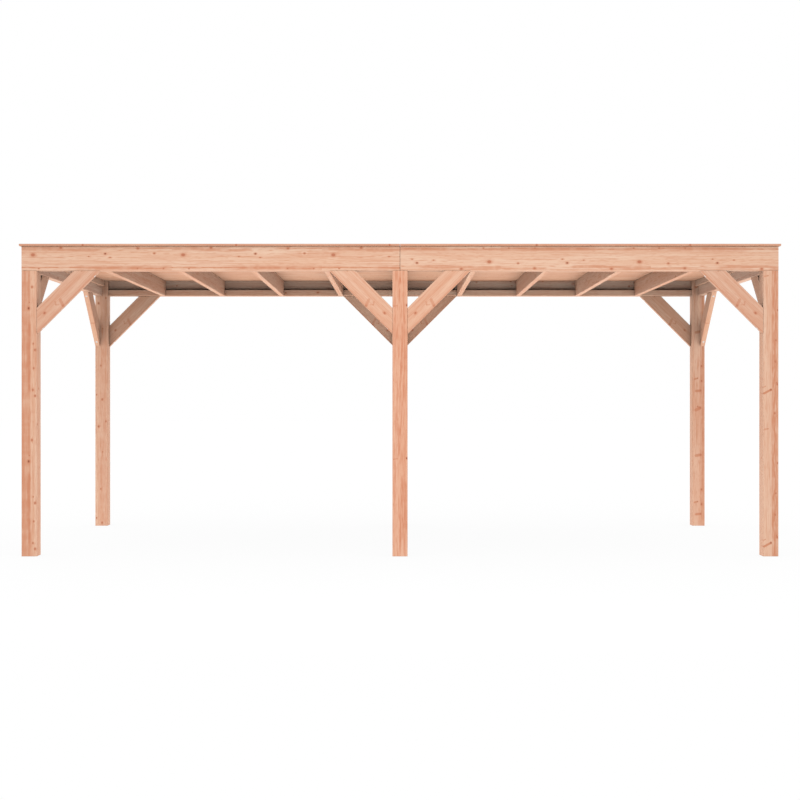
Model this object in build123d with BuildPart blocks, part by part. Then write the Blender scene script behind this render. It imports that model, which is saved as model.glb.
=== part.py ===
from build123d import *
import os

# Open carport of planed timber, millimetres, +Z up.
# The origin is on the ground under the middle of the roof; the front faces -Y, +X is to the right.

# Overall frame
frame_width = 6000
frame_depth = 2640
beam_bottom = 2265

# Timber sections
post_side = 120
beam_height = 195
beam_thickness = 45
side_beam_thickness = 65
brace_width = 145
brace_thickness = 45
rafter_height = 150
rafter_thickness = 45
ledger_height = 60
ledger_thickness = 45
batten_height = 58
batten_thickness = 25
cap_width = 90
cap_thickness = 16

# Braces, caps, roof and joinery
brace_leg = 500
cap_overhang = 17
deck_thickness = 18
deck_board_count = 17
deck_groove = 2
membrane_thickness = 2
rafter_count = 9
eased_arris = 3
eased_end = 2
end_gap = 0.5
splice_gap = 2

# Places worked out from the sizes above
half_width = frame_width / 2
half_depth = frame_depth / 2
post_centre_x = half_width - post_side / 2
post_centre_y = half_depth - post_side / 2
post_inner_x = half_width - post_side
post_inner_y = half_depth - post_side
beam_inner_x = half_width - side_beam_thickness
beam_inner_y = half_depth - beam_thickness
beam_top = beam_bottom + beam_height
deck_bottom = beam_bottom + rafter_height
deck_top = deck_bottom + deck_thickness
rafter_pitch = (2 * (beam_inner_x - batten_thickness / 2)) / (rafter_count + 1)
cap_outer_x = half_width + cap_overhang
cap_outer_y = half_depth + cap_overhang
cap_inner_x = cap_outer_x - cap_width
cap_inner_y = cap_outer_y - cap_width

SIDES = {"left": -1, "right": 1}
ROWS = {"front": -1, "back": 1}

os.makedirs("parts", exist_ok=True)


def save(piece, label):
    """Label one finished piece and write it as a file of its own."""
    piece.part.label = label
    export_step(piece.part, f"parts/{label}.step")


def run_plane(origin, run):
    """Plane across a level timber: its normal is the way the timber runs, its y direction is up."""
    across = Vector(0, 0, 1).cross(Vector(*run))
    return Plane(origin=origin, x_dir=across, z_dir=run)


def timber(start_plane, width, height, length):
    """Planed timber with eased long arrises; its section stands on the middle of the plane's x."""
    with BuildPart() as piece:
        with BuildSketch(start_plane) as section:
            Rectangle(width, height, align=(Align.CENTER, Align.MIN))
            chamfer(section.vertices(), eased_arris)
        extrude(amount=length)
    return piece


def post(side, row):
    """Square post: the ring beam lies on its shoulder and a tongue rises behind the beam."""
    centre = (side * post_centre_x, row * post_centre_y, 0)
    with BuildPart() as piece:
        with BuildSketch(Plane(origin=centre)) as section:
            Rectangle(post_side, post_side)
            chamfer(section.vertices(), eased_arris)
        extrude(amount=deck_bottom)
        with BuildSketch(Plane(origin=(centre[0], row * half_depth, beam_bottom))):
            Rectangle(post_side, 2 * beam_thickness)
        extrude(amount=rafter_height, mode=Mode.SUBTRACT)
        if side:
            with BuildSketch(Plane(origin=(side * half_width, centre[1], beam_bottom))):
                Rectangle(2 * side_beam_thickness, post_side)
            extrude(amount=rafter_height, mode=Mode.SUBTRACT)
    return piece


def long_beam(side, row):
    """Half of the front or back ring beam, from the outer post to the splice over the centre post."""
    length = half_width - splice_gap / 2
    centre_y = row * (half_depth - beam_thickness / 2)
    with BuildPart() as piece:
        with BuildSketch(run_plane((side * half_width, centre_y, beam_bottom), (-side, 0, 0))) as section:
            Rectangle(beam_thickness, beam_height, align=(Align.CENTER, Align.MIN))
            chamfer(section.vertices(), eased_arris)
        extrude(amount=length)
        splice_edges = piece.edges().group_by(Axis.X)[0 if side > 0 else -1]
        chamfer(splice_edges, eased_end)
    return piece


def side_beam(side):
    """Side ring beam between the inner faces of the front and back beams."""
    centre_x = side * (half_width - side_beam_thickness / 2)
    reach = beam_inner_y - end_gap
    start = run_plane((centre_x, -reach, beam_bottom), (0, 1, 0))
    return timber(start, side_beam_thickness, beam_height, 2 * reach)


def ledgers(row):
    """Two ledger strips on the inner face of a long beam, one each side of the centre post."""
    centre_y = row * (beam_inner_y - ledger_thickness / 2)
    length = post_inner_x - post_side / 2 - 2 * end_gap
    with BuildPart() as piece:
        for side in SIDES.values():
            start = (side * (post_side / 2 + end_gap), centre_y, beam_bottom)
            with BuildSketch(run_plane(start, (side, 0, 0))) as section:
                Rectangle(ledger_thickness, ledger_height, align=(Align.CENTER, Align.MIN))
                chamfer(section.vertices(), eased_arris)
            extrude(amount=length)
    return piece


def batten(side):
    """Batten under the edge of the deck, on the inner face of a side beam, between the posts."""
    centre_x = side * (beam_inner_x - batten_thickness / 2)
    reach = post_inner_y - end_gap
    start = run_plane((centre_x, -reach, deck_bottom - batten_height), (0, 1, 0))
    return timber(start, batten_thickness, batten_height, 2 * reach)


def rafter(centre_x):
    """Rafter from front to back, its ends notched to sit on the ledger strips."""
    reach = beam_inner_y - end_gap
    notch_depth = ledger_thickness
    with BuildPart() as piece:
        with BuildSketch(run_plane((centre_x, -reach, beam_bottom), (0, 1, 0))) as section:
            Rectangle(rafter_thickness, rafter_height, align=(Align.CENTER, Align.MIN))
            chamfer(section.vertices(), eased_arris)
        extrude(amount=2 * reach)
        for row in ROWS.values():
            with BuildSketch(Plane(origin=(centre_x, row * reach, beam_bottom))):
                Rectangle(rafter_thickness, 2 * notch_depth)
            extrude(amount=ledger_height, mode=Mode.SUBTRACT)
    return piece


def middle_rafter():
    """Rafter between the tongues of the two centre posts."""
    reach = post_inner_y - end_gap
    start = run_plane((0, -reach, beam_bottom), (0, 1, 0))
    return timber(start, rafter_thickness, rafter_height, 2 * reach)


def brace(corner, run):
    """Brace at 45 degrees under a beam; run points along the beam, away from the post."""
    cut = brace_width * 2 ** 0.5
    with BuildPart() as piece:
        with BuildSketch(Plane(origin=corner, x_dir=run, z_dir=Vector(*run).cross(Vector(0, 0, 1)))):
            with BuildLine():
                Polyline(
                    (brace_leg - cut, 0),
                    (brace_leg, 0),
                    (0, -brace_leg),
                    (0, cut - brace_leg),
                    close=True,
                )
            make_face()
        extrude(amount=brace_thickness / 2, both=True)
        chamfer(piece.edges(), eased_end)
    return piece


def cap(inner_corner, outer_corner):
    """Flat cap board between two corners, past the ring beam's faces, with eased arrises."""
    with BuildPart() as piece:
        with BuildSketch(Plane.XY.offset(beam_top)):
            with BuildLine():
                Polyline(
                    inner_corner,
                    (outer_corner[0], inner_corner[1]),
                    outer_corner,
                    (inner_corner[0], outer_corner[1]),
                    close=True,
                )
            make_face()
        extrude(amount=cap_thickness)
        chamfer(piece.edges(), eased_end)
    return piece


# Posts
for row_name, row in ROWS.items():
    for side_name, side in {"left": -1, "centre": 0, "right": 1}.items():
        save(post(side, row), f"{row_name}_{side_name}_post")

# Ring beam, ledgers and battens
for row_name, row in ROWS.items():
    save(ledgers(row), f"{row_name}_ledgers")
    for side_name, side in SIDES.items():
        save(long_beam(side, row), f"{row_name}_{side_name}_beam")
for side_name, side in SIDES.items():
    save(side_beam(side), f"{side_name}_beam")
    save(batten(side), f"{side_name}_batten")

# Rafters, numbered from the left
middle_number = (rafter_count + 1) // 2
for number in range(1, rafter_count + 1):
    if number == middle_number:
        save(middle_rafter(), f"rafter_{number}")
    else:
        save(rafter((number - middle_number) * rafter_pitch), f"rafter_{number}")

# Braces in the front and back planes, flush with the outer faces of posts and beams
for row_name, row in ROWS.items():
    middle_y = row * (half_depth - brace_thickness / 2)
    for side_name, side in SIDES.items():
        outer_corner = (side * post_inner_x, middle_y, beam_bottom)
        save(brace(outer_corner, (-side, 0, 0)), f"{row_name}_{side_name}_outer_brace")
        centre_corner = (side * post_side / 2, middle_y, beam_bottom)
        save(brace(centre_corner, (side, 0, 0)), f"{row_name}_{side_name}_centre_brace")

# Braces in the side planes: the front ones under the middle of the side beam, the back ones flush outside
for side_name, side in SIDES.items():
    for row_name, row in ROWS.items():
        depth = side_beam_thickness / 2 if row_name == "front" else brace_thickness / 2
        side_corner = (side * (half_width - depth), row * post_inner_y, beam_bottom)
        save(brace(side_corner, (0, -row, 0)), f"{side_name}_{row_name}_side_brace")

# Deck of boards running along the width, with a groove at each board joint underneath
board_pitch = 2 * beam_inner_y / deck_board_count
with BuildPart() as roof_deck:
    with BuildSketch(Plane.XY.offset(deck_bottom)):
        Rectangle(2 * (beam_inner_x - end_gap), 2 * (beam_inner_y - end_gap))
    extrude(amount=deck_thickness)
    with BuildSketch(run_plane((-beam_inner_x, 0, deck_bottom), (1, 0, 0))):
        with GridLocations(board_pitch, 1, deck_board_count - 1, 1):
            Rectangle(deck_groove * 2 ** 0.5, deck_groove * 2 ** 0.5, rotation=45)
    extrude(amount=2 * beam_inner_x, mode=Mode.SUBTRACT)
save(roof_deck, "roof_deck")

# Membrane: a tray on the deck, turned up against the inner faces of the ring beam
with BuildPart() as roof_membrane:
    with BuildSketch(Plane.XY.offset(deck_top)):
        Rectangle(2 * beam_inner_x, 2 * beam_inner_y)
    extrude(amount=beam_top - deck_top)
    with BuildSketch(Plane.XY.offset(deck_top + membrane_thickness)):
        Rectangle(2 * (beam_inner_x - membrane_thickness), 2 * (beam_inner_y - membrane_thickness))
    extrude(amount=beam_top - deck_top, mode=Mode.SUBTRACT)
save(roof_membrane, "roof_membrane")

# Caps: the long ones cover the corners, the side ones lie between them
for row_name, row in ROWS.items():
    for side_name, side in SIDES.items():
        inner_corner = (side * splice_gap / 2, row * cap_inner_y)
        outer_corner = (side * cap_outer_x, row * cap_outer_y)
        save(cap(inner_corner, outer_corner), f"{row_name}_{side_name}_cap")
for side_name, side in SIDES.items():
    inner_corner = (side * cap_inner_x, end_gap - cap_inner_y)
    outer_corner = (side * cap_outer_x, cap_inner_y - end_gap)
    save(cap(inner_corner, outer_corner), f"{side_name}_cap")
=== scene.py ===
"""Looks of an open timber carport: planed softwood frame, boarded roof under a rubber sheet, steel screws."""

import logging
from dataclasses import dataclass, field, replace
from enum import Enum
from typing import Any, Callable, Iterator, Union

import bpy
import numpy as np
from mathutils import Matrix, Vector


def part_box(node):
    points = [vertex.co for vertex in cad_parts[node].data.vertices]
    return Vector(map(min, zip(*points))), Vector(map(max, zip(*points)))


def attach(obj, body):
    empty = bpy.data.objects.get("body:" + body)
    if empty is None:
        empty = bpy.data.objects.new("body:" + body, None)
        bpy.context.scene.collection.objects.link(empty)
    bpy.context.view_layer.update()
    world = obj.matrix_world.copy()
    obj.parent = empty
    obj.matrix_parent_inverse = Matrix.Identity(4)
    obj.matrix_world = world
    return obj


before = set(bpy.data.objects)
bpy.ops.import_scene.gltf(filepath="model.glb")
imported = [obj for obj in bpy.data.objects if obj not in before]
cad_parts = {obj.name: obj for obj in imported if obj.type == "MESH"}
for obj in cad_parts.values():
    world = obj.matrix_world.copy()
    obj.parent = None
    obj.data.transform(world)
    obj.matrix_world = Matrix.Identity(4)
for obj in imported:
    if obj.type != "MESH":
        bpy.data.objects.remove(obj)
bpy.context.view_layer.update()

LOG = logging.getLogger("carport")
BODY = "root"

Value = Union["Wire", float, int, tuple]
Colour = tuple[float, float, float, float]
Point = tuple[float, float, float]

UP = Vector((0, 0, 1))


def paint(red: int, green: int, blue: int) -> Colour:
    """Turns a colour seen on a screen, 0 to 255, into the linear colour of a shader.

    Args:
        red: Red as seen.
        green: Green as seen.
        blue: Blue as seen.

    Returns:
        The linear colour with full alpha.
    """
    seen = np.array([red, green, blue]) / 255
    linear = np.where(seen <= 0.04045, seen / 12.92, ((seen + 0.055) / 1.055) ** 2.4)
    return (*(float(part) for part in linear), 1.0)


class Side(Enum):
    """Left and right, as the way along X."""

    LEFT = -1
    RIGHT = 1

    @property
    def word(self) -> str:
        """The side's name in node names."""
        return self.name.lower()


class Row(Enum):
    """Front and back, as the way along Y."""

    FRONT = -1
    BACK = 1

    @property
    def word(self) -> str:
        """The row's name in node names."""
        return self.name.lower()


class Wire:
    """One output of a material's nodes; arithmetic on it adds Math nodes."""

    KINDS = {"VALUE": "NodeSocketFloat", "VECTOR": "NodeSocketVector", "RGBA": "NodeSocketColor"}
    KINDS_BY_LENGTH = {1: "NodeSocketFloat", 3: "NodeSocketVector", 4: "NodeSocketColor"}

    def __init__(self, graph: "Graph", socket: bpy.types.NodeSocket) -> None:
        """Keeps the graph and the output socket."""
        self.graph = graph
        self.socket = socket

    @property
    def kind(self) -> str:
        """The type of socket that takes this output."""
        return self.KINDS[self.socket.type]

    def output(self, name: str) -> "Wire":
        """Another output of the same node."""
        return Wire(self.graph, self.socket.node.outputs[name])

    def _math(self, operation: str, *values: Value) -> "Wire":
        """A Math node of this operation on the values."""
        return self.graph.node("ShaderNodeMath", {"operation": operation}, dict(enumerate(values)))

    def __add__(self, other: Value) -> "Wire":
        """self + other."""
        return self._math("ADD", self, other)

    def __radd__(self, other: Value) -> "Wire":
        """other + self."""
        return self._math("ADD", other, self)

    def __sub__(self, other: Value) -> "Wire":
        """self - other."""
        return self._math("SUBTRACT", self, other)

    def __rsub__(self, other: Value) -> "Wire":
        """other - self."""
        return self._math("SUBTRACT", other, self)

    def __mul__(self, other: Value) -> "Wire":
        """self * other."""
        return self._math("MULTIPLY", self, other)

    def __rmul__(self, other: Value) -> "Wire":
        """other * self."""
        return self._math("MULTIPLY", other, self)

    def __truediv__(self, other: Value) -> "Wire":
        """self / other."""
        return self._math("DIVIDE", self, other)

    def __mod__(self, other: Value) -> "Wire":
        """self modulo other, never negative."""
        return self._math("FLOORED_MODULO", self, other)

    def __pow__(self, other: Value) -> "Wire":
        """self to the power other."""
        return self._math("POWER", self, other)

    def rise(self, start: Value, end: Value) -> "Wire":
        """A smooth step from 0 at start to 1 at end, which may be wires."""
        values = {0: self, 1: start, 2: end, 3: 0.0, 4: 1.0}
        return self.graph.node("ShaderNodeMapRange", {"interpolation_type": "SMOOTHSTEP"}, values)

    def __abs__(self) -> "Wire":
        """The size of self without its sign."""
        return self._math("ABSOLUTE", self)

    def floor(self) -> "Wire":
        """The whole number at or below self."""
        return self._math("FLOOR", self)

    def least(self, other: Value) -> "Wire":
        """The smaller of self and other."""
        return self._math("MINIMUM", self, other)

    def most(self, other: Value) -> "Wire":
        """The larger of self and other."""
        return self._math("MAXIMUM", self, other)

    def step(self, start: float, end: float) -> "Wire":
        """A smooth step from 0 at start to 1 at end; start may be the larger."""
        low, high = min(start, end), max(start, end)
        values = {0: self, 1: low, 2: high, 3: float(start > end), 4: float(start <= end)}
        return self.graph.node("ShaderNodeMapRange", {"interpolation_type": "SMOOTHSTEP"}, values)


class Graph:
    """The nodes of one material, of the world or of a group that materials share."""

    def __init__(self, tree: bpy.types.NodeTree) -> None:
        """Takes a node tree and clears it."""
        self.tree = tree
        tree.nodes.clear()

    @classmethod
    def of_owner(cls, owner: Union[bpy.types.Material, bpy.types.World]) -> "Graph":
        """The nodes of a material or of the world."""
        owner.use_nodes = True
        return cls(owner.node_tree)

    def shared(
        self, name: str, build: Callable[["Graph", dict[str, "Wire"]], dict[str, "Wire"]], values: dict[str, Value]
    ) -> Wire:
        """Uses a group of nodes, which is built once, the first time it is asked for.

        Args:
            name: The group's name.
            build: Takes the group's nodes and its inputs by name, and gives its outputs by name.
            values: The number, colour, vector or wire of each input.

        Returns:
            The group's first output; Wire.output gives the others.
        """
        tree = bpy.data.node_groups.get(name)
        if tree is None:
            tree = bpy.data.node_groups.new(name, "ShaderNodeTree")
            inner = Graph(tree)
            for socket, value in values.items():
                kind = value.kind if isinstance(value, Wire) else Wire.KINDS_BY_LENGTH[len(np.atleast_1d(value))]
                tree.interface.new_socket(socket, in_out="INPUT", socket_type=kind)
            start = tree.nodes.new("NodeGroupInput")
            results = build(inner, {socket: Wire(inner, start.outputs[socket]) for socket in values})
            end = tree.nodes.new("NodeGroupOutput")
            for socket, wire in results.items():
                tree.interface.new_socket(socket, in_out="OUTPUT", socket_type=wire.kind)
                tree.links.new(wire.socket, end.inputs[socket])
        return self.node("ShaderNodeGroup", {"node_tree": tree}, values)

    def node(
        self, kind: str, settings: dict[str, Any], values: dict[Union[str, int], Value], output: Union[str, int] = 0
    ) -> Wire:
        """Adds one node.

        Args:
            kind: The node's type.
            settings: Properties of the node, set before its sockets.
            values: The number, colour, vector or wire of each input, by name or place.
            output: The output that the result stands for.

        Returns:
            The wire of that output.
        """
        node = self.tree.nodes.new(kind)
        for name, setting in settings.items():
            setattr(node, name, setting)
        for name, value in values.items():
            if isinstance(value, Wire):
                self.tree.links.new(value.socket, node.inputs[name])
            else:
                node.inputs[name].default_value = value
        return Wire(self, node.outputs[output])

    def vector(self, operation: str, *values: Value, output: Union[str, int] = 0) -> Wire:
        """A Vector Math node of this operation on the values."""
        return self.node("ShaderNodeVectorMath", {"operation": operation}, dict(enumerate(values)), output)

    def combine(self, x: Value, y: Value, z: Value) -> Wire:
        """A vector from three values."""
        return self.node("ShaderNodeCombineXYZ", {}, {0: x, 1: y, 2: z})

    def parts(self, vector: Wire) -> tuple[Wire, Wire, Wire]:
        """The three values of a vector."""
        first = self.node("ShaderNodeSeparateXYZ", {}, {0: vector}, "X")
        return first, first.output("Y"), first.output("Z")

    def blend(self, factor: Value, first: Value, second: Value) -> Wire:
        """A colour between first, at factor 0, and second, at factor 1."""
        return self.node("ShaderNodeMix", {"data_type": "RGBA"}, {0: factor, 6: first, 7: second}, 2)

    def noise(self, place: Wire, scale: Point, shift: Value, detail: float = 2.0, rough: float = 0.5) -> Wire:
        """Noise of its own scale along each axis.

        Args:
            place: The vector that the noise reads.
            scale: Waves per metre along each axis.
            shift: How far the pattern is moved, so that pieces differ.
            detail: Octaves added to the first.
            rough: Share of each further octave.

        Returns:
            A value about 0.5, seldom under 0.2 or over 0.8.
        """
        moved = self.combine(shift, shift * 1.7, shift * 2.3)
        scaled = self.vector("MULTIPLY_ADD", place, scale, moved)
        return self.node("ShaderNodeTexNoise", {}, {"Vector": scaled, "Detail": detail, "Roughness": rough, "Scale": 1.0})

    def scaled(self, colour: Value, share: Value) -> Wire:
        """A colour made darker or lighter by a value."""
        return self.node("ShaderNodeVectorMath", {"operation": "SCALE"}, {0: colour, "Scale": share})

    def wave(self, value: Wire, shift: Value, detail: float = 1.0) -> Wire:
        """Noise along one value, a wave about every unit."""
        settings = {"noise_dimensions": "1D"}
        return self.node("ShaderNodeTexNoise", settings, {"W": value + shift, "Detail": detail, "Scale": 1.0})

    def finish(self, shader: Wire, kind: str = "Material") -> None:
        """Joins a shader to the output of the material or of the world."""
        output = self.tree.nodes.new(f"ShaderNodeOutput{kind}")
        self.tree.links.new(shader.socket, output.inputs["Surface"])


def coated(name: str, values: Callable[[Graph], dict[str, Value]]) -> bpy.types.Material:
    """Makes a material that ends in a Principled BSDF.

    Args:
        name: The material's name.
        values: Takes the material's nodes and gives the shader's values.

    Returns:
        The material.
    """
    material = bpy.data.materials.new(name)
    graph = Graph.of_owner(material)
    graph.finish(graph.node("ShaderNodeBsdfPrincipled", {}, values(graph)))
    return material


@dataclass(frozen=True)
class Knot:
    """A knot that goes through the piece's thickness.

    Places are metres along the grain and across the face, from the grain's origin; dark knots have a black heart.
    """

    along: float
    across: float
    radius: float = 0.007
    dark: bool = False


@dataclass(frozen=True)
class Streak:
    """A reddish line of resin and late wood along the grain, from start to end, that wavers and comes and goes."""

    across: float
    width: float
    start: float = -0.1
    end: float = 9.0
    strength: float = 1.0
    waver: float = 0.3

    @property
    def taper(self) -> float:
        """The length over which each end fades out."""
        return min(0.06, (self.end - self.start) / 2)

    @property
    def edge(self) -> float:
        """Half the width over which each long edge fades out."""
        return min(0.005, self.width / 4)


@dataclass(frozen=True)
class Spike:
    """A branch cut along its length: a reddish mark between two places on the face, darker at the first."""

    start: tuple[float, float]
    end: tuple[float, float]
    width: float = 0.011
    strength: float = 0.9


@dataclass(frozen=True)
class Grain:
    """How the wood of one piece was cut from its log, as a frame along the piece and what shows on it.

    The frame's x runs along the grain, z across the face and y through the thickness. Outward is the normal of the
    face that shows the knots, streaks and spikes of the lists; strewn knots are on the other faces. A tint is the
    piece's own share of red, green and blue, and the outward face has one more; on the posts and ring beams these
    also hold painted light and shade. What faces down has painted light, a tint of its own that stands in for light
    thrown up onto it. Figure is how strongly the grain's lines show, and strokes gives its short lines' waves per
    metre along, through and across.
    """

    origin: Vector
    run: Vector
    across: Vector
    pith: tuple[float, float] = (-0.09, 0.03)
    slope: float = 0.012
    seed: float = 0.0
    knots: tuple[Knot, ...] = ()
    streaks: tuple[Streak, ...] = ()
    spikes: tuple[Spike, ...] = ()
    scattered: float = 0.5
    period: float = 0.0
    board_pitch: float = 0.0
    figure: float = 1.0
    strokes: Point = (4.5, 110.0, 110.0)
    tint: Point = (1.0, 1.0, 1.0)
    # Painted light: what faces down gets this tint, standing in for light that wood throws up onto it.
    under_tint: Point = (1.02, 0.98, 0.93)
    outward: Vector = Vector((0, 0, 0))
    outward_tint: Point = (1.0, 1.0, 1.0)

    @property
    def through(self) -> Vector:
        """The way through the piece's thickness."""
        return self.across.cross(self.run)

    def frame(self, graph: Graph) -> Wire:
        """Place on the piece, along, through and across it, in metres.

        Args:
            graph: The material's nodes.

        Returns:
            The place as a vector.
        """
        axes = Matrix((self.run, self.through, self.across)).transposed()
        place = graph.node("ShaderNodeTexCoord", {}, {}, "Object")
        values = {"Vector": place, "Location": tuple(self.origin), "Rotation": tuple(axes.to_euler())}
        local = graph.node("ShaderNodeMapping", {"vector_type": "TEXTURE"}, values)
        return self.boards(graph, local) if self.board_pitch else local

    def boards(self, graph: Graph, local: Wire) -> Wire:
        """Cuts the frame across into boards, each from another part of a log.

        Args:
            graph: The material's nodes.
            local: The place on the whole sheet of boards.

        Returns:
            The place on each board, moved along and through by its own amount.
        """
        along, through, across = graph.parts(local)
        number = (across / self.board_pitch).floor()
        chance = graph.node("ShaderNodeTexWhiteNoise", {"noise_dimensions": "1D"}, {"W": number}, "Value")
        middle = across - (number + 0.5) * self.board_pitch
        return graph.combine(along + number * 3.7, through + chance * 0.05, middle + (chance - 0.5) * 0.04)


@dataclass(frozen=True)
class PlanedSoftwood:
    """Planed, untreated softwood: pale pink-brown wood, redder late wood, small knots."""

    pale: Colour = paint(234, 195, 169)
    mid: Colour = paint(230, 185, 157)
    warm: Colour = paint(220, 163, 133)
    red: Colour = paint(208, 139, 107)
    knot: Colour = paint(190, 116, 87)
    heart: Colour = paint(128, 74, 54)
    ring_width: float = 0.0048
    line_width: float = 0.011
    band_width: float = 0.03
    wander: float = 0.03
    ripple: float = 0.006
    swell: float = 0.004
    knot_depth: float = 0.05
    largest_knot: float = 0.0085
    roughness: float = 0.6
    end_shade: float = 0.86
    # Painted shade: ambient occlusion within this reach darkens the wood's colour in creases and between parts, by up
    # to this share.
    crevice_reach: float = 0.012
    crevice_shade: float = 0.3

    def knot_field(self, graph: Graph, local: Wire, knots: tuple[Knot, ...]) -> Union[Wire, float]:
        """Distance from the nearest of some knots, in its own radii; a knot tapers off as it goes in.

        Args:
            graph: The material's nodes.
            local: The place on the piece.
            knots: The knots.

        Returns:
            The distance, 1 at a knot's edge, or a large number where there is no knot.
        """
        nearest: Union[Wire, float] = 99.0
        for knot in knots:
            scale = (0.75 / knot.radius, 1 / self.knot_depth, 1 / knot.radius)
            shift = (-scale[0] * knot.along, 0.0, -scale[2] * knot.across)
            away = graph.vector("MULTIPLY_ADD", local, scale, shift)
            distance = graph.vector("LENGTH", away, output="Value")
            nearest = distance if isinstance(nearest, float) else distance.least(nearest)
        return nearest

    def scattered_field(self, graph: Graph, grain: Grain, local: Wire, normal: Wire) -> Wire:
        """Distance from the nearest of many knots strewn over each face, in its own radii.

        Cells of a Voronoi pattern, long along the grain, hold one knot each; a cell's chance sets its knot's size,
        and below a threshold the cell has none. A face reads the pattern along the grain and along its own width,
        moved by an amount of its own. The face of the placed knots stays free.

        Args:
            graph: The material's nodes.
            grain: The grain, for its share of cells with a knot and its seed.
            local: The place on the piece.
            normal: The face's normal.

        Returns:
            The distance, 1 at a knot's edge.
        """
        along, through, across = graph.parts(local)
        to_side = graph.vector("DOT_PRODUCT", normal, tuple(grain.across), output="Value")
        to_face = graph.vector("DOT_PRODUCT", normal, tuple(grain.through), output="Value")
        outer = graph.vector("DOT_PRODUCT", normal, tuple(grain.outward), output="Value").step(0.5, 0.7)
        shift = to_side * 3.3 + to_face * 5.9 + grain.seed
        width = across + abs(to_side).step(0.6, 0.8) * (through - across)
        cell_length, cell_width = 0.3, 0.075
        cells = graph.combine(along / cell_length + shift, width / cell_width + shift * 1.3, 0.0)
        settings = {"voronoi_dimensions": "2D"}
        nearest = graph.node("ShaderNodeTexVoronoi", settings, {"Vector": cells, "Scale": 1.0}, "Color")
        chance, _, _ = graph.parts(nearest)
        away = graph.vector("SUBTRACT", nearest.output("Position"), cells)
        metric = graph.vector("MULTIPLY", away, (0.75 * cell_length, cell_width, 0.0))
        share = (chance - (1 - grain.scattered)) / grain.scattered
        radius = (share * (1 - outer)).most(0.02) * self.largest_knot
        return graph.vector("LENGTH", metric, output="Value") / radius

    def material(self, name: str, grain: Grain) -> bpy.types.Material:
        """Makes the wood of one piece.

        Args:
            name: The material's name.
            grain: How the piece was cut.

        Returns:
            The material.
        """
        return coated(name, lambda graph: self.values(graph, grain))

    def values(self, graph: Graph, grain: Grain) -> dict[str, Value]:
        """The wood's colour, roughness and bump: rings and fibre, then streaks, spikes and knots over them, then tints
        by face with painted light and shade.

        Args:
            graph: The material's nodes.
            grain: How the piece was cut.

        Returns:
            The shader's values.
        """
        local = grain.frame(graph)
        normal = graph.node("ShaderNodeNewGeometry", {}, {}, "Normal")
        along, through, across = graph.parts(local)
        repeated = local
        if grain.period:
            repeated = graph.combine(along % grain.period, through, across)
        knots = self.scattered_field(graph, grain, local, normal) if grain.scattered else None
        if grain.knots:
            placed = self.knot_field(graph, repeated, grain.knots)
            knots = placed if knots is None else knots.least(placed)
        colour = graph.shared("softwood_rings", self.rings, {
            "Place": local, "Knots": 99.0 if knots is None else knots, "Seed": grain.seed,
            "Pith depth": grain.pith[0], "Pith side": grain.pith[1], "Slope": grain.slope,
            "Pale": self.pale, "Mid": self.mid, "Figure": grain.figure, "Strokes": grain.strokes,
        })
        late, fibre = colour.output("Late"), colour.output("Fibre")
        colour = self.streaked(graph, grain, normal, local, colour)
        colour = self.spiked(graph, grain, repeated, colour)
        if knots is not None:
            colour = graph.blend(knots.step(2.2, 0.9) * 0.55, colour, self.red)
            colour = graph.blend(knots.step(1.15, 0.6) * 0.9, colour, self.knot)
        hearts = self.knot_field(graph, repeated, tuple(knot for knot in grain.knots if knot.dark))
        if isinstance(hearts, Wire):
            colour = graph.blend(hearts.step(0.75, 0.3) * 0.85, colour, self.heart)
        colour = graph.blend(fibre.step(0.5, 0.68) * 0.16, colour, self.red)
        colour = self.by_face(graph, grain, normal, colour)
        height = fibre * 0.6 + late * 0.4
        return {
            "Base Color": colour,
            "Roughness": self.roughness + late * -0.06 + fibre * 0.1,
            "Normal": graph.node("ShaderNodeBump", {}, {"Strength": 0.25, "Distance": 0.0006, "Height": height}),
            "IOR": 1.45,
            "Specular IOR Level": 0.08,
        }

    def by_face(self, graph: Graph, grain: Grain, normal: Wire, colour: Wire) -> Wire:
        """Tints a piece and its outward face, darkens end grain, paints shade into crevices and paints light on what
        faces down.

        Args:
            graph: The material's nodes.
            grain: The grain with its tints.
            normal: The face's normal.
            colour: The wood's colour so far.

        Returns:
            The tinted colour.
        """
        outer = graph.vector("DOT_PRODUCT", normal, tuple(grain.outward), output="Value").step(0.5, 0.7)
        ends = abs(graph.vector("DOT_PRODUCT", normal, tuple(grain.run), output="Value")).step(0.75, 0.85)
        # Painted light on what faces down; painted shade where ambient occlusion finds creases and gaps between parts.
        # The darker end grain is the wood's own.
        down = graph.vector("DOT_PRODUCT", normal, (0, 0, -1), output="Value").step(0.4, 0.9)
        settings = {"samples": 4}
        open_share = graph.node("ShaderNodeAmbientOcclusion", settings, {"Distance": self.crevice_reach}, "AO")
        shade = (1 - ends * (1 - self.end_shade)) * (1 - open_share.step(0.75, 0.3) * self.crevice_shade)
        colour = graph.vector("MULTIPLY", colour, grain.tint)
        colour = graph.blend(outer, colour, graph.vector("MULTIPLY", colour, grain.outward_tint))
        # Painted light: what faces down takes its own tint, which stands in for light thrown up onto it.
        colour = graph.blend(down, colour, graph.vector("MULTIPLY", colour, grain.under_tint))
        return graph.scaled(colour, shade)

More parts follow.
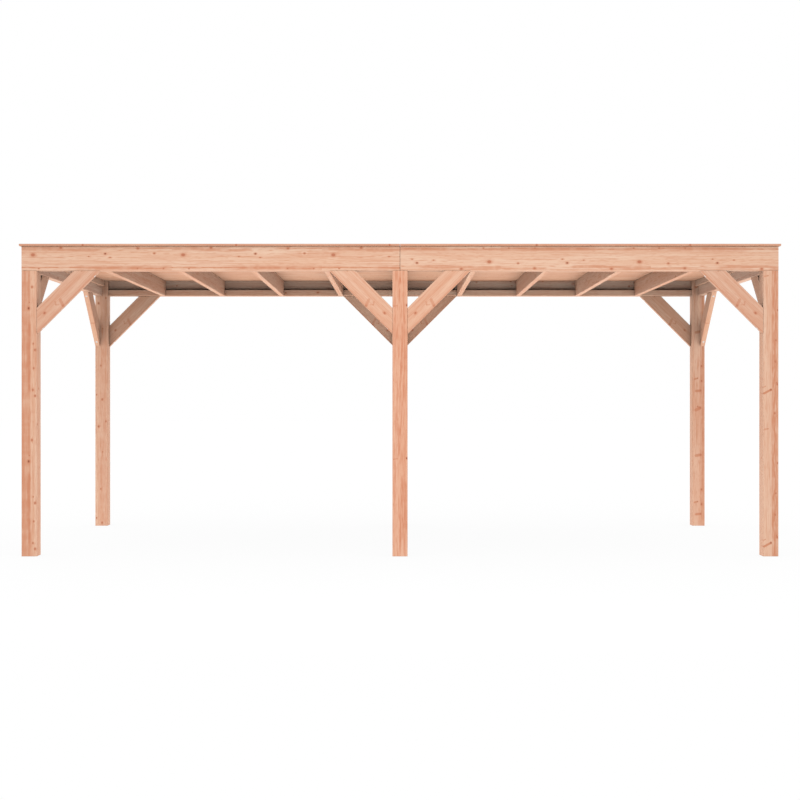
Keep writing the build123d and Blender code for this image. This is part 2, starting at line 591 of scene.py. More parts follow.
    def rings(self, graph: Graph, inputs: dict[str, Wire]) -> dict[str, Wire]:
        """Draws the growth rings and the fibre.

        Growth rings are cylinders about a pith line beside the piece, tilted a little to its length, so their cut
        faces show long arches; noise lets them wander, and they swell round knots.

        Args:
            graph: The group's nodes.
            inputs: The place on the piece, its distance from knots, its seed, pith and slope, and the pale colours.

        Returns:
            The colour, the share of late wood and the fibre's noise.
        """
        local, seed = inputs["Place"], inputs["Seed"]
        along, through, across = graph.parts(local)
        wander = (graph.noise(local, (0.7, 4, 4), seed, 1.0) - 0.5) * self.wander
        ripple = (graph.noise(local, (3.5, 26, 26), seed + 5.1) - 0.5) * self.ripple
        depth = through - inputs["Pith depth"] - along * inputs["Slope"]
        side = across - inputs["Pith side"]
        swell = inputs["Knots"].step(4.0, 0.5) * self.swell
        reach = (depth * depth + side * side) ** 0.5 + wander + ripple + swell
        ring = (reach / self.ring_width) % 1.0
        late = ring.step(0.45, 0.9) * ring.step(1.0, 0.93)
        lines = graph.wave(reach / self.line_width, seed, 2.0)
        bands = graph.wave(reach / self.band_width, seed + 9.0)
        tone = graph.noise(local, (0.9, 15, 15), seed + 2.7)
        strokes = graph.noise(local, inputs["Strokes"], seed + 7.3, 2.0, 0.6)
        flecks = graph.noise(local, (17, 150, 150), seed + 3.9, 1.0)
        fibre = graph.noise(local, (9, 620, 620), seed, 2.0, 0.6)

        figure = inputs["Figure"]
        colour = graph.blend(tone.step(0.36, 0.62), inputs["Pale"], inputs["Mid"])
        colour = graph.blend(bands.step(0.46, 0.72) * figure * 0.45, colour, self.warm)
        colour = graph.blend(lines.step(0.5, 0.7) * figure * 0.5, colour, self.warm)
        colour = graph.blend(strokes.step(0.5, 0.68) * figure * 0.55, colour, self.red)
        colour = graph.blend(flecks.step(0.52, 0.7) * figure * 0.4, colour, self.red)
        colour = graph.blend(late * 0.12, colour, self.red)
        return {"Colour": colour, "Late": late, "Fibre": fibre}

    def streaked(self, graph: Graph, grain: Grain, normal: Wire, local: Wire, colour: Wire) -> Wire:
        """Draws a grain's streaks over the colour of its two wide faces, fainter on the one that isn't outward.

        Args:
            graph: The material's nodes.
            grain: The grain with its streaks.
            normal: The face's normal.
            local: The place on the piece.
            colour: The wood's colour so far.

        Returns:
            The colour with the streaks.
        """
        along, _, across = graph.parts(local)
        place = along % grain.period if grain.period else along
        face = abs(graph.vector("DOT_PRODUCT", normal, tuple(grain.through), output="Value")).step(0.5, 0.7)
        if grain.outward.length:
            outer = graph.vector("DOT_PRODUCT", normal, tuple(grain.outward), output="Value").step(0.5, 0.7)
            face = face * (outer * 0.65 + 0.35)
        for number, streak in enumerate(grain.streaks):
            colour = graph.shared("softwood_streak", self.streak, {
                "Along": along, "Place": place, "Across": across, "Colour": colour,
                "Middle": streak.across, "Half width": streak.width / 2, "Start": streak.start, "End": streak.end,
                "Taper": streak.taper, "Edge": streak.edge, "Strength": streak.strength, "Face": face,
                "Waver": 0.05 * streak.waver, "Seed": grain.seed + 13.7 * number,
            })
        return colour

    def streak(self, graph: Graph, inputs: dict[str, Wire]) -> dict[str, Wire]:
        """Draws one streak.

        Its middle line is its height across the face plus a slow and a quick wave along the grain; another wave
        makes it fade and return.

        Args:
            graph: The group's nodes.
            inputs: The place, the colour so far, and the streak's sizes.

        Returns:
            The colour with the streak.
        """
        along, place, seed, taper = (inputs[name] for name in ("Along", "Place", "Seed", "Taper"))
        half_width, edge = inputs["Half width"], inputs["Edge"]
        sway = (graph.wave(along * 5.5, seed, 2.0) - 0.5) * inputs["Waver"]
        beside = abs(inputs["Across"] + sway - inputs["Middle"]).rise(half_width - edge, half_width + edge)
        begins = place.rise(inputs["Start"], inputs["Start"] + taper)
        ends = place.rise(inputs["End"] - taper, inputs["End"])
        pulse = graph.wave(along * 11, seed + 5.9, 2.0).step(0.3, 0.62) * 0.5 + 0.5
        share = (1 - beside) * begins * (1 - ends) * pulse * inputs["Strength"] * inputs["Face"]
        return {"Colour": graph.blend(share, inputs["Colour"], self.red)}

    def spiked(self, graph: Graph, grain: Grain, repeated: Wire, colour: Wire) -> Wire:
        """Draws a grain's spikes over its colour.

        The share along a spike is how far the place has gone from its first to its second end, kept between 0 and
        1; the distance from that point, in half widths, gives the mark.

        Args:
            graph: The material's nodes.
            grain: The grain with its spikes.
            repeated: The place on one repeat of the piece.
            colour: The wood's colour so far.

        Returns:
            The colour with the spikes.
        """
        for spike in grain.spikes:
            start = Vector((spike.start[0], 0, spike.start[1]))
            way = Vector((spike.end[0], 0, spike.end[1])) - start
            gone = graph.vector("SUBTRACT", repeated, tuple(start))
            measure = tuple(way / way.length_squared)
            share = graph.vector("DOT_PRODUCT", gone, measure, output="Value").most(0.0).least(1.0)
            nearest = graph.node("ShaderNodeVectorMath", {"operation": "SCALE"}, {0: tuple(way), "Scale": share})
            away = graph.vector("SUBTRACT", gone, nearest)
            flat = graph.vector("MULTIPLY", away, (1.0, 0.1, 1.0))
            distance = graph.vector("LENGTH", flat, output="Value") / (spike.width / 2)
            colour = graph.blend(distance.step(1.3, 0.5) * spike.strength, colour, self.red)
            heart = distance.step(1.0, 0.4) * share.step(0.3, 0.0) * spike.strength
            colour = graph.blend(heart * 0.8, colour, self.knot)
        return colour


@dataclass(frozen=True)
class RubberSheet:
    """Matt black roofing rubber with a fine skin and a little dust."""

    black: Colour = paint(44, 45, 48)
    dust: Colour = paint(92, 90, 88)

    def material(self, name: str) -> bpy.types.Material:
        """Makes the rubber.

        Args:
            name: The material's name.

        Returns:
            The material.
        """
        return coated(name, self.values)

    def values(self, graph: Graph) -> dict[str, Value]:
        """The rubber's colour, roughness and bump.

        Args:
            graph: The material's nodes.

        Returns:
            The shader's values.
        """
        place = graph.node("ShaderNodeTexCoord", {}, {}, "Object")
        dust = graph.noise(place, (9, 11, 9), 4.0, 6.0, 0.62)
        drift = graph.noise(place, (0.8, 1.1, 0.8), 2.0, 2.0)
        skin = graph.noise(place, (260, 260, 260), 1.0, 3.0)
        creases = graph.noise(place, (0.9, 14, 4), 7.0, 3.0)
        share = dust.step(0.42, 0.8) * drift.step(0.3, 0.75) * 0.45
        height = skin * 0.25 + creases
        return {
            "Base Color": graph.blend(share, self.black, self.dust),
            "Roughness": 0.62 + dust * 0.25,
            "Normal": graph.node("ShaderNodeBump", {}, {"Strength": 0.35, "Distance": 0.003, "Height": height}),
            "Specular IOR Level": 0.35,
        }


@dataclass(frozen=True)
class ScrewSteel:
    """Bright stainless steel of a screw head, finely turned."""

    bright: Colour = paint(244, 244, 244)
    dull: Colour = paint(222, 222, 222)

    def material(self, name: str) -> bpy.types.Material:
        """Makes the steel.

        Args:
            name: The material's name.

        Returns:
            The material.
        """
        return coated(name, self.values)

    def values(self, graph: Graph) -> dict[str, Value]:
        """The steel's colour and roughness.

        Args:
            graph: The material's nodes.

        Returns:
            The shader's values.
        """
        place = graph.node("ShaderNodeTexCoord", {}, {}, "Object")
        turned = graph.noise(place, (900, 900, 900), 2.0, 3.0, 0.6)
        return {
            "Base Color": graph.blend(turned.step(0.3, 0.7), self.dull, self.bright),
            "Metallic": 0.6,
            "Roughness": 0.3 + turned * 0.25,
        }


def dress(node: str, material: bpy.types.Material) -> None:
    """Gives a CAD node its material and reports it."""
    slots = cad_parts[node].data.materials
    slots.clear()
    slots.append(material)
    LOG.info("dressed %s", node)


@dataclass(frozen=True)
class PostFace:
    """What shows on the front of one post, over one repeat of the pattern."""

    knots: tuple[Knot, ...] = ()
    streaks: tuple[Streak, ...] = ()
    spikes: tuple[Spike, ...] = ()
    figure: float = 1.0
    # The front face's tint is the post's own tone and, on the back posts, also painted light; the side tint lightens
    # the other faces as painted light.
    tint: Point = (1.0, 1.0, 1.0)
    side_tint: Point = (1.08, 1.04, 1.02)


@dataclass
class Posts:
    """Six square posts; the grain runs up from the ground, and the front faces repeat one pattern along it."""

    finish: PlanedSoftwood
    period: float = 1.2135
    faces: dict[str, PostFace] = field(default_factory=lambda: {
        "front_left_post": PostFace(
            knots=(
                Knot(0.753, 0.057, 0.010, True), Knot(0.922, 0.083, 0.007), Knot(0.423, 0.107, 0.0075),
                Knot(0.472, 0.093, 0.005), Knot(0.278, 0.097, 0.006), Knot(0.106, 0.090, 0.0065),
                Knot(0.059, 0.107, 0.0075), Knot(0.80, 0.062, 0.004),
            ),
            streaks=(
                Streak(0.034, 0.070, strength=0.6, waver=0.1), Streak(0.062, 0.018, 0.06, 0.69, 1.0, 0.2),
                Streak(0.052, 0.024, 0.2, 0.62, 0.75, 0.3), Streak(0.018, 0.014, 0.0, 1.2, 0.45, 0.5),
                Streak(0.058, 0.014, 0.76, 1.15, 0.7, 0.3), Streak(0.004, 0.012, strength=0.5, waver=0.1),
            ),
            tint=(0.97, 0.965, 0.955),
        ),
        "front_centre_post": PostFace(
            knots=(Knot(0.778, 0.114, 0.007, True),),
            streaks=(
                Streak(0.061, 0.010, 0.92, 1.06, 1.0, 0.2), Streak(0.055, 0.009, 0.78, 0.93, 1.0, 0.1),
                Streak(0.076, 0.011, 0.24, 0.66, 0.7, 0.2), Streak(0.062, 0.010, 0.0, 0.36, 0.7, 0.5),
                Streak(0.030, 0.022, 0.95, 1.2, 0.4, 0.3), Streak(0.104, 0.03, 0.2, 0.62, 0.4, 0.2),
                Streak(0.092, 0.008, 0.0, 1.2, 0.45, 0.4), Streak(0.018, 0.010, 0.3, 0.9, 0.4, 0.3),
            ),
            spikes=(Spike((0.770, 0.010), (0.775, 0.040), 0.010, 0.5),),
            tint=(0.97, 0.85, 0.80),
        ),
        "front_right_post": PostFace(
            knots=(
                Knot(0.151, 0.110, 0.007), Knot(0.333, 0.093, 0.006), Knot(1.135, 0.090, 0.007),
                Knot(0.739, 0.113, 0.006), Knot(0.500, 0.099, 0.006), Knot(0.163, 0.106, 0.005),
                Knot(0.327, 0.095, 0.005), Knot(0.1075, 0.0605, 0.0065, True),
            ),
            streaks=(
                Streak(0.094, 0.056, strength=0.5, waver=0.06), Streak(0.088, 0.013, -0.1, 9.0, 1.0, 1.0),
                Streak(0.098, 0.011, -0.1, 9.0, 0.8, 0.8), Streak(0.074, 0.014, 0.22, 0.38, 1.0, 0.2),
                Streak(0.108, 0.009, 0.0, 1.2, 0.6, 0.4), Streak(0.074, 0.012, 1.00, 1.14, 1.0, 0.2),
                Streak(0.076, 0.014, 0.60, 0.74, 0.9, 0.2), Streak(0.072, 0.005, strength=0.6, waver=0.1),
            ),
            spikes=(
                Spike((0.107, 0.059), (0.079, 0.007), 0.018, 1.0), Spike((1.012, 0.036), (1.006, 0.010), 0.014, 0.6),
                Spike((0.135, 0.016), (0.128, 0.002), 0.010, 0.6),
            ),
            figure=0.75,
            tint=(0.98, 1.01, 1.02),
        ),
        "back_left_post": PostFace(
            knots=(
                Knot(0.977, 0.033, 0.009), Knot(1.028, 0.104, 0.007), Knot(0.030, 0.068, 0.009),
                Knot(0.077, 0.013, 0.006), Knot(0.727, 0.073, 0.005), Knot(0.363, 0.055, 0.007),
                Knot(0.975, 0.034, 0.004, True),
            ),
            streaks=(
                Streak(0.085, 0.072, strength=0.32, waver=0.2), Streak(0.060, 0.012, 0.3, 0.9, 0.5, 0.8),
                Streak(0.100, 0.010, 0.0, 1.2, 0.4, 0.4), Streak(0.073, 0.011, 0.64, 0.80, 0.8, 0.1),
            ),
            # Painted light: the back posts' front faces are made lighter, standing in for light that reaches them
            # under the roof.
            tint=(1.12, 1.16, 1.18),
        ),
        "back_right_post": PostFace(
            knots=(Knot(0.358, 0.089, 0.007), Knot(0.212, 0.089, 0.008)),
            streaks=(
                Streak(0.098, 0.014, 0.3, 1.2, 0.7, 0.3), Streak(0.085, 0.012, 0.0, 0.4, 0.6, 0.4),
                Streak(0.098, 0.050, strength=0.3, waver=0.1), Streak(0.107, 0.010, strength=0.45, waver=0.2),
            ),
            spikes=(
                Spike((1.160, 0.072), (1.140, 0.035), 0.034, 0.85), Spike((0.117, 0.078), (0.113, 0.037), 0.026, 0.85),
                Spike((0.238, 0.049), (0.230, 0.020), 0.018, 0.8), Spike((0.698, 0.078), (0.690, 0.035), 0.030, 0.75),
                Spike((1.175, 0.050), (1.150, 0.068), 0.018, 0.7),
            ),
            # Painted light, as on the back left post, with the post's own redder tone.
            tint=(1.07, 1.02, 1.0),
        ),
    })

    def dress(self) -> None:
        """Gives each post its wood."""
        seed = 0.0
        for row in Row:
            for place in ("left", "centre", "right"):
                node = f"{row.word}_{place}_post"
                low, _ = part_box(node)
                seed += 3.17
                face = self.faces.get(node, PostFace())
                # Painted light: every face takes the side tint, and the front face takes the post's tint instead.
                grain = Grain(
                    origin=low, run=UP, across=Vector((1, 0, 0)), pith=(-0.135, 0.055), slope=0.006, seed=seed,
                    knots=face.knots, streaks=face.streaks, spikes=face.spikes, scattered=0.45, period=self.period,
                    figure=face.figure, tint=face.side_tint, outward=Vector((0, -1, 0)) if face.knots else Vector((0, 0, 0)),
                    outward_tint=tuple(front / side for front, side in zip(face.tint, face.side_tint)),
                )
                dress(node, self.finish.material(f"{node}_wood", grain))


@dataclass
class RingBeam:
    """The deep beams round the roof and the caps on them; their boards show one pattern again and again."""

    finish: PlanedSoftwood
    period: float = 1.1905
    right_shift: float = 0.1791
    cap_period: float = 1.2145
    cap_knot: float = 0.506
    right_cap_knot: float = 1.081
    pith: tuple[float, float] = (-0.24, 0.12)
    strokes: Point = (2.2, 95.0, 95.0)
    figure: float = 0.85
    # Painted shade: the inner faces, in shade under the roof, take a greyer tint than the outer faces.
    outward_tint: Point = (0.985, 1.015, 1.02)
    inward_tint: Point = (1.02, 1.07, 1.13)
    knots: tuple[Knot, ...] = (
        Knot(0.0906, 0.125, 0.0135), Knot(0.6636, 0.134, 0.008, True), Knot(1.0527, 0.137, 0.007),
        Knot(0.312, 0.181, 0.009), Knot(0.922, 0.176, 0.0085), Knot(0.137, 0.0165, 0.005),
        Knot(0.919, 0.017, 0.005), Knot(1.1255, 0.017, 0.0055), Knot(0.532, 0.112, 0.0045),
        Knot(0.7015, 0.104, 0.0045),
    )
    streaks: tuple[Streak, ...] = (
        Streak(0.0245, 0.010, -0.1, 0.62, 1.0, 0.1), Streak(0.022, 0.017, 0.50, 0.99, 0.9, 0.1),
        Streak(0.0185, 0.011, 0.92, 1.15, 1.0, 0.06), Streak(0.0245, 0.010, 1.08, 1.3, 0.9, 0.06),
        Streak(0.022, 0.040, 0.40, 1.3, 0.4, 0.05), Streak(0.104, 0.006, 0.25, 0.37, 0.8, 0.05),
        Streak(0.112, 0.006, 0.34, 0.45, 0.75, 0.05), Streak(0.119, 0.006, 0.42, 0.50, 0.75, 0.05),
        Streak(0.112, 0.009, 0.505, 0.56, 0.9, 0.0), Streak(0.112, 0.006, 0.55, 0.69, 0.6, 0.1),
        Streak(0.104, 0.009, 0.675, 0.73, 0.9, 0.0), Streak(0.104, 0.006, 0.72, 0.96, 0.55, 0.1),
        Streak(0.173, 0.026, -0.1, 0.27, 0.6, 0.2), Streak(0.166, 0.018, 0.19, 0.66, 0.7, 0.4),
        Streak(0.156, 0.010, 0.33, 0.62, 0.55, 0.3), Streak(0.160, 0.010, 0.74, 0.82, 0.7, 0.1),
        Streak(0.176, 0.008, 0.80, 1.3, 0.8, 0.1), Streak(0.186, 0.008, 0.0, 1.2, 0.5, 0.2),
        Streak(0.075, 0.005, 0.1, 0.7, 0.4, 0.3), Streak(0.055, 0.005, 0.0, 1.2, 0.35, 0.3),
    )

    def dress(self) -> None:
        """Gives the beams and caps their wood."""
        seed = 21.0
        for row in Row:
            inward = Vector((0, -row.value, 0))
            for side in Side:
                node = f"{row.word}_{side.word}_beam"
                low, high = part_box(node)
                outer_y = high.y if row is Row.BACK else low.y
                turned = (side is Side.RIGHT) == (row is Row.FRONT)
                across = -UP if turned else UP
                run = inward.cross(across)
                end_x = low.x if run.x > 0 else high.x
                start = Vector((end_x, outer_y, high.z if turned else low.z))
                if turned:
                    start = start - run * self.right_shift
                seed += 2.9
                grain = self.grain(start, run, across, seed, -inward)
                dress(node, self.finish.material(f"{node}_wood", grain))
                knot = self.cap_knot if side is Side.LEFT else self.right_cap_knot
                self.dress_cap(f"{row.word}_{side.word}_cap", Vector((1, 0, 0)), inward, seed + 1.1, knot)
        for side in Side:
            node = f"{side.word}_beam"
            low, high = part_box(node)
            inward = Vector((-side.value, 0, 0))
            run = inward.cross(UP)
            start = Vector((high.x if side is Side.RIGHT else low.x, high.y if run.y < 0 else low.y, low.z))
            grain = self.grain(start, run, UP, seed + 4.4 * side.value, -inward)
            dress(node, self.finish.material(f"{node}_wood", grain))
            cap_seed = seed + 7.7 * side.value
            self.dress_cap(f"{side.word}_cap", Vector((0, 1, 0)), inward, cap_seed, self.cap_knot)

    def grain(self, start: Vector, run: Vector, across: Vector, seed: float, outward: Vector) -> Grain:
        """The grain of one beam.

        Args:
            start: Where its pattern starts, on the outer face's lower edge as the pattern lies.
            run: The way of its grain.
            across: From that edge to the other.
            seed: What makes its wood differ.
            outward: The outer face's normal.

        Returns:
            The grain.
        """
        # Every face takes the inner, painted shade tint; the outer face takes its own tint instead.
        return Grain(
            start, run, across, self.pith, 0.004, seed, self.knots, self.streaks, scattered=0.4, period=self.period,
            figure=self.figure, strokes=self.strokes, tint=self.inward_tint, outward=outward,
            outward_tint=tuple(front / back for front, back in zip(self.outward_tint, self.inward_tint)),
        )

    def dress_cap(self, node: str, run: Vector, inward: Vector, seed: float, knot: float) -> None:
        """Gives one cap board its wood, a darker copy that holds painted shade.

        Args:
            node: The cap.
            run: The way of its grain.
            inward: From its outer edge to its inner one.
            seed: What makes its wood differ.
            knot: How far along it the first knot of its outer edge lies.
        """
        low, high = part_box(node)
        start = Vector((low[axis] if inward[axis] >= 0 else high[axis] for axis in range(3)))
        knots = (Knot(knot, 0.0, 0.005),)
        grain = Grain(
            start, run, inward, (-0.05, 0.03), 0.008, seed, knots, scattered=0.4, period=self.cap_period,
        )
        # Painted shade: the caps take a darker copy of the wood.
        painted_shade_cap_wood = replace(self.finish, pale=paint(218, 170, 143), mid=paint(209, 156, 130))
        dress(node, painted_shade_cap_wood.material(f"{node}_wood", grain))


@dataclass
class RoofFrame:
    """Ledger strips, battens and rafters under the deck, and the deck's boards."""

    finish: PlanedSoftwood
    rafters: int = 9
    board_count: int = 17
    tint: Point = (1.05, 0.97, 0.93)
    # Painted light: the rafters' undersides take a lighter, less red tint, standing in for light thrown up onto them.
    under_tint: Point = (1.05, 1.08, 1.06)
    deck_tint: Point = (1.04, 1.0, 0.97)

    def dress(self) -> None:
        """Gives the roof's timbers and boards their wood."""
        along_y = Vector((0, 1, 0))
        for number in range(1, self.rafters + 1):
            node = f"rafter_{number}"
            low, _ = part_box(node)
            grain = Grain(
                low, along_y, UP, (-0.08, 0.05), 0.01, 40 + 1.9 * number, scattered=0.45, tint=self.tint,
                under_tint=self.under_tint,
            )
            dress(node, self.finish.material(f"{node}_wood", grain))
        for row in Row:
            self.dress_strip(f"{row.word}_ledgers", Vector((1, 0, 0)), 61 + row.value)
        for side in Side:
            self.dress_strip(f"{side.word}_batten", along_y, 67 + side.value)
        low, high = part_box("roof_deck")
        grain = Grain(
            low, Vector((1, 0, 0)), Vector((0, 1, 0)), (-0.06, 0.0), 0.01, 71.0, scattered=0.4,
            board_pitch=(high.y - low.y) / self.board_count, tint=self.deck_tint,
        )
        dress("roof_deck", self.finish.material("roof_deck_wood", grain))

    def dress_strip(self, node: str, run: Vector, seed: float) -> None:
        """Gives a strip its wood.

        Args:
            node: The strip.
            run: The way of its grain.
            seed: What makes its wood differ.
        """
        low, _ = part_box(node)
        grain = Grain(low, run, UP, (-0.05, 0.02), 0.01, seed, scattered=0.4)
        dress(node, self.finish.material(f"{node}_wood", grain))


@dataclass(frozen=True)
class BracePlace:
    """Where a brace meets its post and beam: the corner, the way along the beam, and its two legs' length."""

    node: str
    corner: Vector
    run: Vector
    leg: float

    @property
    def down(self) -> Vector:
        """The way along the brace from the beam to the post."""
        return (-self.run - UP).normalized()

    @property
    def inward(self) -> Vector:
        """The way from the long lower edge towards the corner."""
        return (UP - self.run).normalized()

    @property
    def top(self) -> Vector:
        """The upper end of the long lower edge."""
        return self.corner + self.run * self.leg


@dataclass
class Braces:
    """Twelve knee braces and the two screws in each one's lower edge."""

    finish: PlanedSoftwood
    steel: ScrewSteel
    knots: tuple[Knot, ...] = (Knot(0.547, 0.072, 0.0085), Knot(0.10, 0.10, 0.005))
    spikes: tuple[Spike, ...] = (
        Spike((0.402, 0.010), (0.384, 0.058), 0.026, 0.55), Spike((0.425, 0.075), (0.437, 0.055), 0.014, 0.42),
        Spike((0.437, 0.055), (0.420, 0.040), 0.014, 0.35),
    )
    streaks: tuple[Streak, ...] = (
        Streak(0.0, 0.020, 0.0, 0.8, 0.45, 0.05), Streak(0.014, 0.024, 0.0, 0.8, 0.15, 0.2),
        Streak(0.032, 0.006, 0.1, 0.36, 0.3, 0.4), Streak(0.100, 0.030, 0.0, 0.8, 0.12, 0.15),
        Streak(0.068, 0.006, 0.05, 0.65, 0.2, 0.3), Streak(0.126, 0.008, 0.0, 0.8, 0.2, 0.3),
    )
    figure: float = 0.6
    tint: Point = (0.97, 0.92, 0.895)
    corner_tint: Point = (0.91, 0.86, 0.845)
    side_tint: Point = (1.02, 0.975, 0.955)
    screw_inset: float = 0.06
    head_radius: float = 0.0105
    head_rise: float = 0.0008
    drive_radius: float = 0.0026
    drive_depth: float = 0.0014
    rings: int = 12
    spokes: int = 48
    eased_end: float = 0.002

    def places(self) -> Iterator[BracePlace]:
        """Every brace with its corner and direction.

        Returns:
            The places, front and back rows first, then the sides.
        """
        for row in Row:
            for side in Side:
                for name, way in (("outer", -side.value), ("centre", side.value)):
                    yield self.place(f"{row.word}_{side.word}_{name}_brace", Vector((way, 0, 0)))
        for side in Side:
            for row in Row:
                yield self.place(f"{side.word}_{row.word}_side_brace", Vector((0, -row.value, 0)))

    def place(self, node: str, run: Vector) -> BracePlace:
        """One brace's place from its box, which the eased tips make a little short of its legs.

        Args:
            node: The brace.
            run: The way along its beam, away from its post.

        Returns:
            The brace's place.
        """
        low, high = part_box(node)
        middle = (low + high) / 2
        reach = high.z - low.z
        corner = middle - run * (reach / 2)
        corner.z = high.z
        return BracePlace(node, corner, run, reach + self.eased_end / 2 ** 0.5)

    def dress(self) -> None:
        """Gives each brace its wood and its screws."""
        seed = 80.0
        for place in self.places():
            seed += 0.0 if place.node.startswith("front") else 1.3
            grain = Grain(
                place.top, place.down, place.inward, (-0.08, 0.04), 0.02, seed, self.knots, self.streaks, self.spikes,
                scattered=0.0, figure=self.figure, tint=self.wood_tint(place),
            )
            dress(place.node, self.finish.material(f"{place.node}_wood", grain))
        metal = self.steel.material("screw_steel")
        for place in self.places():
            self.add_screws(place, metal)

    def wood_tint(self, place: BracePlace) -> Point:
        """The tint of a brace: darker at the front corners, paler at the sides.

        Args:
            place: The brace.

        Returns:
            The tint.
        """
        if place.node.endswith("side_brace"):
            return self.side_tint
        return self.corner_tint if place.node in ("front_left_outer_brace", "front_right_outer_brace") else self.tint

    def head(self, centre: Vector, outward: Vector) -> tuple[np.ndarray, np.ndarray]:
        """A countersunk screw head with a six-lobed drive, as a grid of rings and spokes.

        Height over the wood, as a function of the radius r and the angle a: a shallow dome from the rim to the
        middle, less the drive's depth where r is under the lobed outline drive_radius * (1 + 0.16 cos 6a).

        Args:
            centre: The middle of the head, on the wood's face.
            outward: The face's normal.

        Returns:
            Points, and faces as rows of four point numbers.
        """
        angle = np.linspace(0, 2 * np.pi, self.spokes, endpoint=False)
        lobe = self.drive_radius * (1 + 0.16 * np.cos(6 * angle))
        share = np.linspace(0.0, 1.0, self.rings)[:, None]
        inner = np.minimum(share / 0.45, 1.0) * lobe[None, :]
        outer = np.maximum((share - 0.45) / 0.55, 0.0) * (self.head_radius - lobe[None, :])
        radius = inner + outer
        dome = self.head_rise * (1 - 0.6 * (radius / self.head_radius) ** 2)
        sunk = np.where(share < 0.44, self.drive_depth, 0.0)
        height = np.where(share > 0.99, -self.head_rise, dome - sunk)
        side = outward.orthogonal().normalized()
        other = outward.cross(side)
        points = (
            np.array(centre)[None, None]
            + (radius * np.cos(angle))[..., None] * np.array(side)
            + (radius * np.sin(angle))[..., None] * np.array(other)
            + height[..., None] * np.array(outward)
        )
        ring, spoke = np.meshgrid(np.arange(1, self.rings - 1), np.arange(self.spokes), indexing="ij")
        ring, spoke = ring.ravel(), spoke.ravel()
        after = (spoke + 1) % self.spokes
        quads = np.stack(
            [ring * self.spokes + spoke, (ring + 1) * self.spokes + spoke,
             (ring + 1) * self.spokes + after, ring * self.spokes + after], axis=1,
        )
        spokes = np.arange(self.spokes)
        pole = self.spokes - 1
        fan = np.stack([np.full_like(spokes, pole), self.spokes + spokes, self.spokes + (spokes + 1) % self.spokes], axis=1)
        return points.reshape(-1, 3)[pole:], (quads - pole, fan - pole)

    def add_screws(self, place: BracePlace, metal: bpy.types.Material) -> None:
        """Builds the two screw heads of one brace as one mesh.

        Args:
            place: The brace.
            metal: Their steel.
        """
        outward = -place.inward
        length = place.leg * 2 ** 0.5
        points, faces = [], []
        for along in (self.screw_inset, length - self.screw_inset):
            head_points, (quads, fan) = self.head(place.top + place.down * along, outward)
            offset = sum(len(part) for part in points)
            faces += (quads + offset).tolist() + (fan + offset).tolist()
            points.append(head_points)
        name = place.node.replace("brace", "screws")
        mesh = bpy.data.meshes.new(name)
        mesh.from_pydata(np.concatenate(points).tolist(), [], faces)
        mesh.materials.append(metal)
        screws = bpy.data.objects.new(name, mesh)
        bpy.context.scene.collection.objects.link(screws)
        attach(screws, BODY)
        LOG.info("built %s", name)


@dataclass
class Membrane:
    """The rubber sheet on the deck."""

    finish: RubberSheet

    def dress(self) -> None:
        """Gives the membrane its rubber."""
        dress("roof_membrane", self.finish.material("roof_rubber_sheet"))


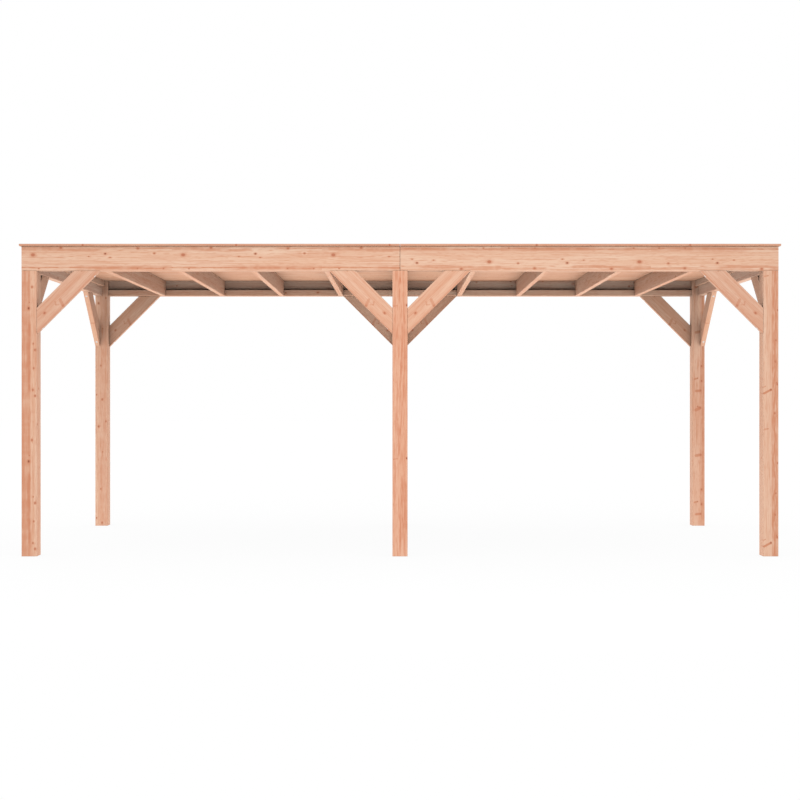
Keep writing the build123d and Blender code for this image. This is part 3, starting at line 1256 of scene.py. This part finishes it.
@dataclass
class Studio:
    """Plain floor, soft white light all round and the camera of the photograph."""

    camera_height: float = 1.2476
    camera_reach: float = 10.4
    pixels_per_metre: float = 126.17
    picture_width: float = 800.0
    sensor: float = 36.0
    horizon_lift: float = 1.0
    floor_reach: float = 60.0
    floor_shadow: float = 0.07
    light_above: float = 0.93
    light_below: float = 1.12
    lamp_ahead: float = 4.0
    lamp_height: float = 1.9
    lamp_width: float = 2.4
    lamp_power: float = 19.0

    def build(self) -> None:
        """Makes the light, the floor and the camera; light that wood throws on wood is left out."""
        scene = bpy.context.scene
        scene.view_settings.view_transform = "Standard"
        scene.cycles.diffuse_bounces = 0
        self.light_world(scene)
        self.hang_lamp()
        self.lay_floor()
        self.place_camera()

    def light_world(self, scene: bpy.types.Scene) -> None:
        """Lights the scene from all sides, a little more from below than from above, and white to the camera.

        Args:
            scene: The scene.
        """
        world = bpy.data.worlds.new("studio")
        graph = Graph.of_owner(world)
        direction = graph.node("ShaderNodeTexCoord", {}, {}, "Generated")
        _, _, height = graph.parts(direction)
        glow = self.light_below + height.step(-0.15, 0.15) * (self.light_above - self.light_below)
        camera = graph.node("ShaderNodeLightPath", {}, {}, "Is Camera Ray")
        strength = camera + (1 - camera) * glow
        light = graph.node("ShaderNodeBackground", {}, {"Color": (1, 1, 1, 1), "Strength": strength})
        graph.finish(light, "World")
        scene.world = world

    def hang_lamp(self) -> None:
        """Hangs a wide weak lamp ahead of the middle bay, unseen itself."""
        lamp = bpy.data.lights.new("front_lamp", "AREA")
        lamp.size = self.lamp_width
        lamp.energy = self.lamp_power
        holder = bpy.data.objects.new("front_lamp", lamp)
        holder.location = (0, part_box("front_left_post")[0].y - self.lamp_ahead, self.lamp_height)
        holder.rotation_euler = (np.pi / 2, 0, 0)
        holder.visible_camera = False
        holder.visible_glossy = False
        bpy.context.scene.collection.objects.link(holder)

    def lay_floor(self) -> None:
        """Lays a wide floor that shows white to the camera with a faint shadow, and lets the light through."""
        material = bpy.data.materials.new("studio_floor")
        graph = Graph.of_owner(material)
        glow = graph.node("ShaderNodeEmission", {}, {"Color": (1, 1, 1, 1), "Strength": 1 - 0.9 * self.floor_shadow})
        grey = (self.floor_shadow,) * 3 + (1.0,)
        matt = graph.node("ShaderNodeBsdfDiffuse", {}, {"Color": grey})
        graph.finish(graph.node("ShaderNodeAddShader", {}, {0: glow, 1: matt}))
        reach = self.floor_reach
        corners = [(-reach, -reach, -0.0005), (reach, -reach, -0.0005), (reach, reach, -0.0005), (-reach, reach, -0.0005)]
        mesh = bpy.data.meshes.new("studio_floor")
        mesh.from_pydata(corners, [], [(0, 1, 2, 3)])
        mesh.materials.append(material)
        floor = bpy.data.objects.new("studio_floor", mesh)
        floor.visible_diffuse = False
        bpy.context.scene.collection.objects.link(floor)

    def place_camera(self) -> None:
        """Places the camera level, in front of the middle post's line."""
        lens = bpy.data.cameras.new("front_camera")
        lens.sensor_width = self.sensor
        lens.lens = self.sensor * self.pixels_per_metre * self.camera_reach / self.picture_width
        lens.shift_y = -self.horizon_lift / self.picture_width
        camera = bpy.data.objects.new("front_camera", lens)
        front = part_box("front_left_post")[0].y
        camera.location = (0, front - self.camera_reach, self.camera_height)
        camera.rotation_euler = (np.pi / 2, 0, 0)
        bpy.context.scene.collection.objects.link(camera)
        bpy.context.scene.camera = camera


def main() -> None:
    """Builds and dresses the carport in order, then the studio."""
    logging.basicConfig(level=logging.INFO, format="%(message)s")
    timber = PlanedSoftwood()
    Posts(timber).dress()
    RingBeam(timber).dress()
    RoofFrame(timber).dress()
    Braces(timber, ScrewSteel()).dress()
    Membrane(RubberSheet()).dress()
    Studio().build()


if __name__ == "__main__":
    main()
